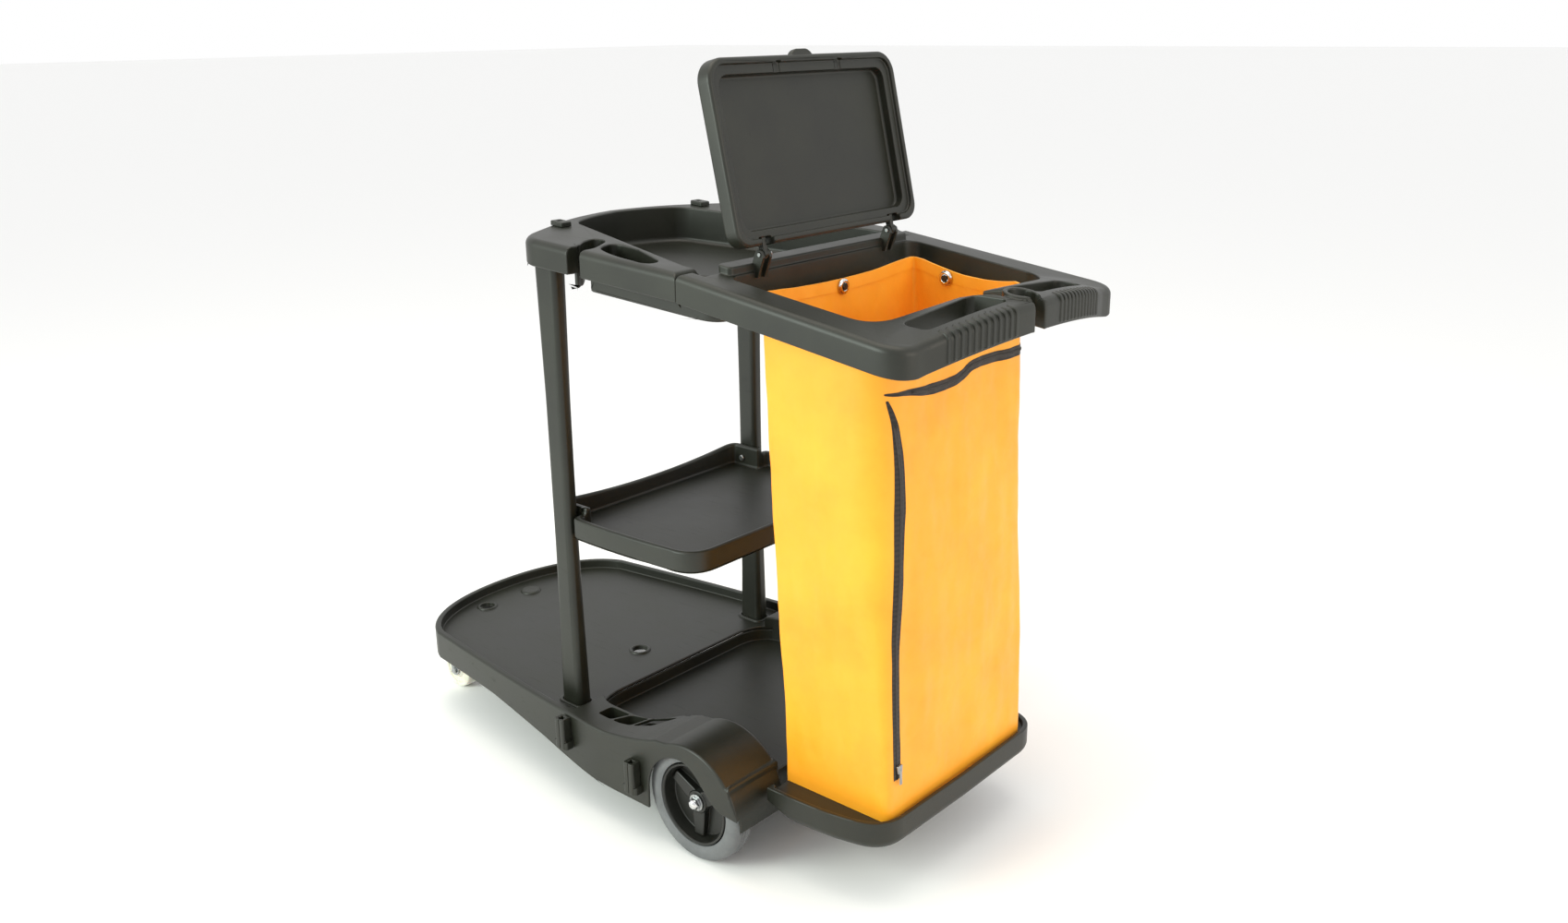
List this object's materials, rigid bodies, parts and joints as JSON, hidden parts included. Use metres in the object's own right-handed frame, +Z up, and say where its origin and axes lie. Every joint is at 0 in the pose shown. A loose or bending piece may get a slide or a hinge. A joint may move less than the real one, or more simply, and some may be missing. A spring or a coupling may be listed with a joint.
{
  "type": "housekeeping cart",
  "caption": "Moulded cleaning cart with a low front deck, middle shelf, open top tray, and a hanging zipped waste bag under a hinged lid, on large rear wheels and front casters.",
  "frame": {"origin": "on the floor, under the middle of the cart's overall length and width", "axes": "+X runs lengthwise from the front deck to the rear push handle, +Y is the cart's left side when it is pushed, +Z is up"},
  "size_m": [1.2602, 0.6328, 1.2329],
  "materials": {
    "body_plastic": "black moulded polypropylene, fine texture, satin",
    "hub_plastic": "black moulded wheel centre, satin",
    "tyre_rubber": "grey non-marking rubber with a fine tread",
    "nylon": "cream nylon",
    "chrome": "bright chrome plate",
    "zinc_steel": "bright zinc plate",
    "bag_vinyl": "yellow-orange vinyl-coated fabric, satin",
    "zip_fabric": "dark woven zip tape"
  },
  "bodies": {
    "cart": {"base_platform": "body_plastic", "deck_plug": "body_plastic", "rear_axle": "zinc_steel", "axle_spacer_left": "body_plastic", "axle_spacer_right": "body_plastic", "middle_shelf": "body_plastic", "shelf_screw_left": "zinc_steel", "shelf_screw_right": "zinc_steel", "top_tray": "body_plastic", "post_latch_left": "body_plastic", "post_latch_right": "body_plastic", "bag_frame": "body_plastic", "frame_screw_left": "zinc_steel", "frame_screw_right": "zinc_steel", "lid_hinge_pin_left": "zinc_steel", "lid_hinge_pin_right": "zinc_steel", "bag": "bag_vinyl", "eyelet_front": "chrome", "eyelet_rear_left": "chrome", "eyelet_rear_right": "chrome", "eyelet_left": "chrome", "eyelet_right": "chrome", "bag_hook_front": "body_plastic", "bag_hook_rear_left": "body_plastic", "bag_hook_rear_right": "body_plastic", "bag_hook_left": "body_plastic", "bag_hook_right": "body_plastic", "zip_tape": "zip_fabric", "bag_platform": "body_plastic", "platform_screw_left": "zinc_steel", "platform_screw_right": "zinc_steel", "post_left": "body_plastic", "post_right": "body_plastic", "rear_washer_left": "zinc_steel", "rear_washer_right": "zinc_steel", "axle_cap_nut_left": "chrome", "axle_cap_nut_right": "chrome", "caster_plate_left": "zinc_steel", "caster_plate_right": "zinc_steel", "caster_kingpin_nut_left": "zinc_steel", "caster_kingpin_nut_right": "zinc_steel", "tool_holder_front_left": "body_plastic", "tool_holder_front_right": "body_plastic", "tool_holder_rear_left": "body_plastic", "tool_holder_rear_right": "body_plastic"},
    "lid": {"lid": "body_plastic"},
    "rear_wheel_left": {"rear_tyre_left": "tyre_rubber", "rear_hub_left": "hub_plastic", "rear_bush_left": "nylon"},
    "rear_wheel_right": {"rear_tyre_right": "tyre_rubber", "rear_hub_right": "hub_plastic", "rear_bush_right": "nylon"},
    "caster_swivel_left": {"caster_fork_left": "zinc_steel", "caster_axle_left": "zinc_steel"},
    "caster_swivel_right": {"caster_fork_right": "zinc_steel", "caster_axle_right": "zinc_steel"},
    "caster_roller_left": {"caster_wheel_left": "nylon"},
    "caster_roller_right": {"caster_wheel_right": "nylon"},
    "zip_pull": {"zip_slider": "zinc_steel"}
  },
  "joints": [
    {"name": "lid_hinge", "type": "hinge", "parent": "cart", "child": "lid", "pos_m": [0.263, 0, 0.955], "axis": [0, 1, 0], "range_deg": [0, 109]},
    {"name": "rear_wheel_spin_left", "type": "hinge", "parent": "cart", "child": "rear_wheel_left", "pos_m": [0.213, 0.266, 0.098], "axis": [0, 1, 0], "continuous": true},
    {"name": "rear_wheel_spin_right", "type": "hinge", "parent": "cart", "child": "rear_wheel_right", "pos_m": [0.213, -0.266, 0.098], "axis": [0, 1, 0], "continuous": true},
    {"name": "caster_turn_left", "type": "hinge", "parent": "cart", "child": "caster_swivel_left", "pos_m": [-0.545, 0.15, 0.11], "axis": [0, 0, 1], "continuous": true},
    {"name": "caster_turn_right", "type": "hinge", "parent": "cart", "child": "caster_swivel_right", "pos_m": [-0.545, -0.15, 0.11], "axis": [0, 0, 1], "continuous": true},
    {"name": "caster_spin_left", "type": "hinge", "parent": "caster_swivel_left", "child": "caster_roller_left", "pos_m": [-0.573, 0.15, 0.0375], "axis": [0, 1, 0], "continuous": true},
    {"name": "caster_spin_right", "type": "hinge", "parent": "caster_swivel_right", "child": "caster_roller_right", "pos_m": [-0.573, -0.15, 0.0375], "axis": [0, 1, 0], "continuous": true},
    {"name": "zip_slide", "type": "slide", "parent": "cart", "child": "zip_pull", "axis": [-0.0327, 0, 0.9995], "range_m": [0, 0.54]}
  ]
}
